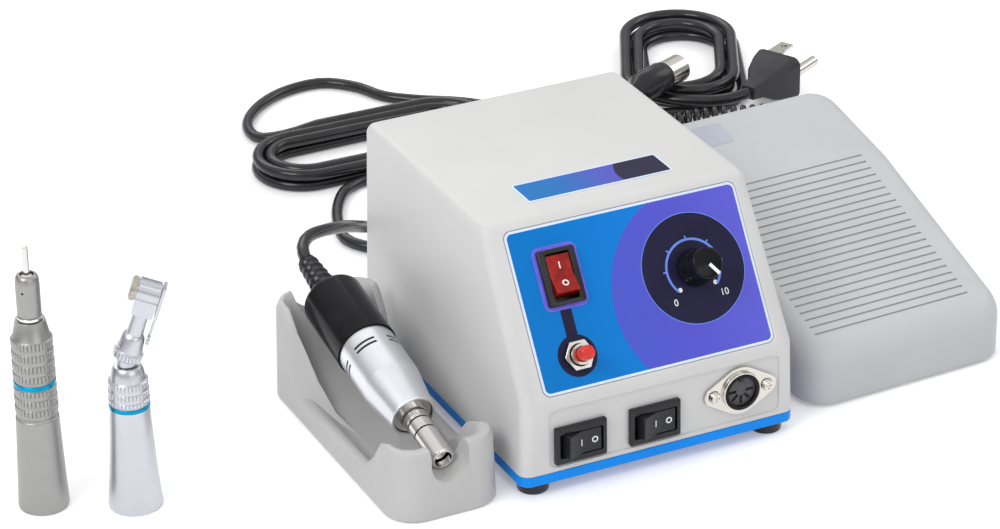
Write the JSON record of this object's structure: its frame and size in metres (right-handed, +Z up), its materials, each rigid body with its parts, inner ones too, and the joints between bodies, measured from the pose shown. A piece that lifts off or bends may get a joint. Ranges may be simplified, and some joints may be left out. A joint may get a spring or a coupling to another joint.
{
  "type": "dental lab micromotor",
  "caption": "Bench micromotor set: control unit with slanted panel, motor handpiece in its cradle, foot pedal, straight and angled attachments, motor, pedal and mains cords.",
  "frame": {"origin": "centre of the rigid pieces' box, on the surface that the set stands on", "axes": "+X to the right along the set, +Y to the back of the control unit, +Z up"},
  "size_m": [0.4478, 0.3757, 0.1055],
  "materials": {
    "housing_grey": "satin moulded ABS",
    "pedal_grey": "matt moulded ABS",
    "cradle_grey": "matt moulded plastic",
    "azure": "satin moulded ABS",
    "panel_blue": "printed polyester film",
    "black_plastic": "semi-gloss",
    "black_rubber": "smooth",
    "red_lens": "glossy",
    "aluminium": "satin anodised",
    "steel": "ground",
    "nickel": "nickel plated",
    "matt_steel": "bead blasted",
    "satin_silver": "satin",
    "laminate_green": "circuit board",
    "copper": "enamelled wire",
    "magnet_grey": "matt"
  },
  "bodies": {
    "root": {"base_tray": "azure", "breaker_body": "nickel", "breaker_nut": "nickel", "contra_head": "satin_silver", "contra_sheath": "satin_silver", "control_board": "laminate_green", "cradle": "cradle_grey", "direction_switch_frame": "black_plastic", "front_bearing": "steel", "front_left_foot": "black_rubber", "front_overlay": "panel_blue", "front_right_foot": "black_rubber", "housing_shell": "housing_grey", "mains_cord_coil": "black_rubber", "mains_cord_lead": "black_rubber", "mains_cord_tail": "black_rubber", "mains_plug_body": "black_rubber", "mains_plug_pins": "nickel", "mains_strain_relief": "black_rubber", "mode_switch_frame": "black_plastic", "motor_cap": "black_plastic", "motor_cord_hank": "black_rubber", "motor_cord_lead": "black_rubber", "motor_cord_relief": "black_rubber", "motor_cord_tail": "black_rubber", "motor_magnet": "magnet_grey", "motor_nose": "steel", "motor_plug_body": "black_plastic", "motor_plug_shell": "nickel", "motor_sleeve": "aluminium", "motor_socket_insert": "magnet_grey", "motor_socket_shell": "nickel", "pedal_base": "pedal_grey", "pedal_cord": "black_rubber", "pedal_pivot_pin": "steel", "pedal_plug": "black_rubber", "pedal_sensor_board": "laminate_green", "pedal_socket": "nickel", "pedal_spring": "steel", "power_switch_frame": "black_plastic", "rear_bearing": "steel", "rear_left_foot": "black_rubber", "rear_right_foot": "black_rubber", "socket_screw_left": "nickel", "socket_screw_right": "nickel", "speed_potentiometer": "steel", "straight_sleeve": "matt_steel", "transformer_core": "magnet_grey", "transformer_winding": "copper"},
    "power_rocker": {"power_rocker": "red_lens"},
    "mode_rocker": {"mode_rocker": "black_plastic"},
    "direction_rocker": {"direction_rocker": "black_plastic"},
    "breaker_button": {"breaker_button": "red_lens"},
    "speed_knob": {"speed_knob": "black_plastic", "pot_shaft": "steel"},
    "motor_rotor": {"motor_rotor": "steel"},
    "pedal_cover": {"pedal_cover": "pedal_grey"},
    "straight_chuck_ring": {"straight_chuck_ring": "matt_steel"},
    "straight_spindle": {"straight_spindle": "steel"},
    "contra_latch": {"contra_latch": "satin_silver"}
  },
  "joints": [
    {"name": "power_rock", "type": "hinge", "parent": "root", "child": "power_rocker", "pos_m": [0.00201, -0.05853, 0.07432], "axis": [1, 0, 0], "range_deg": [0, 24]},
    {"name": "mode_rock", "type": "hinge", "parent": "root", "child": "mode_rocker", "pos_m": [-0.00229, -0.08207, 0.01967], "axis": [0, -0.0205, -0.9998], "range_deg": [0, 24]},
    {"name": "direction_rock", "type": "hinge", "parent": "root", "child": "direction_rocker", "pos_m": [0.02831, -0.08207, 0.01967], "axis": [0, -0.0205, -0.9998], "range_deg": [0, 24]},
    {"name": "breaker_press", "type": "slide", "parent": "root", "child": "breaker_button", "axis": [0, 0.8364, -0.5481], "range_m": [0, 0.002], "stiffness_N_per_m": 200, "springref_m": -0.001},
    {"name": "speed_turn", "type": "hinge", "parent": "root", "child": "speed_knob", "pos_m": [0.05481, -0.06353, 0.06779], "axis": [0, -0.8364, 0.5481], "range_deg": [0, 290]},
    {"name": "motor_spin", "type": "hinge", "parent": "root", "child": "motor_rotor", "pos_m": [-0.05279, -0.07359, 0.02], "axis": [0, 0.9802, 0.198], "continuous": true},
    {"name": "pedal_press", "type": "hinge", "parent": "root", "child": "pedal_cover", "pos_m": [0.14541, -0.06061, 0.009], "axis": [-0.999, -0.0436, 0], "range_deg": [0, 3], "stiffness_Nm_per_rad": 4, "springref_deg": -5.73, "deforming": ["pedal_spring"]},
    {"name": "chuck_twist", "type": "hinge", "parent": "root", "child": "straight_chuck_ring", "pos_m": [-0.18179, -0.00459, 0], "axis": [0, 0, 1], "range_deg": [0, 30]},
    {"name": "straight_spin", "type": "hinge", "parent": "root", "child": "straight_spindle", "pos_m": [-0.18179, -0.00459, 0], "axis": [0, 0, 1], "continuous": true},
    {"name": "latch_open", "type": "hinge", "parent": "root", "child": "contra_latch", "pos_m": [-0.13784, -0.02633, 0.08908], "axis": [-0.4352, -0.9003, 0], "range_deg": [0, 60]}
  ]
}
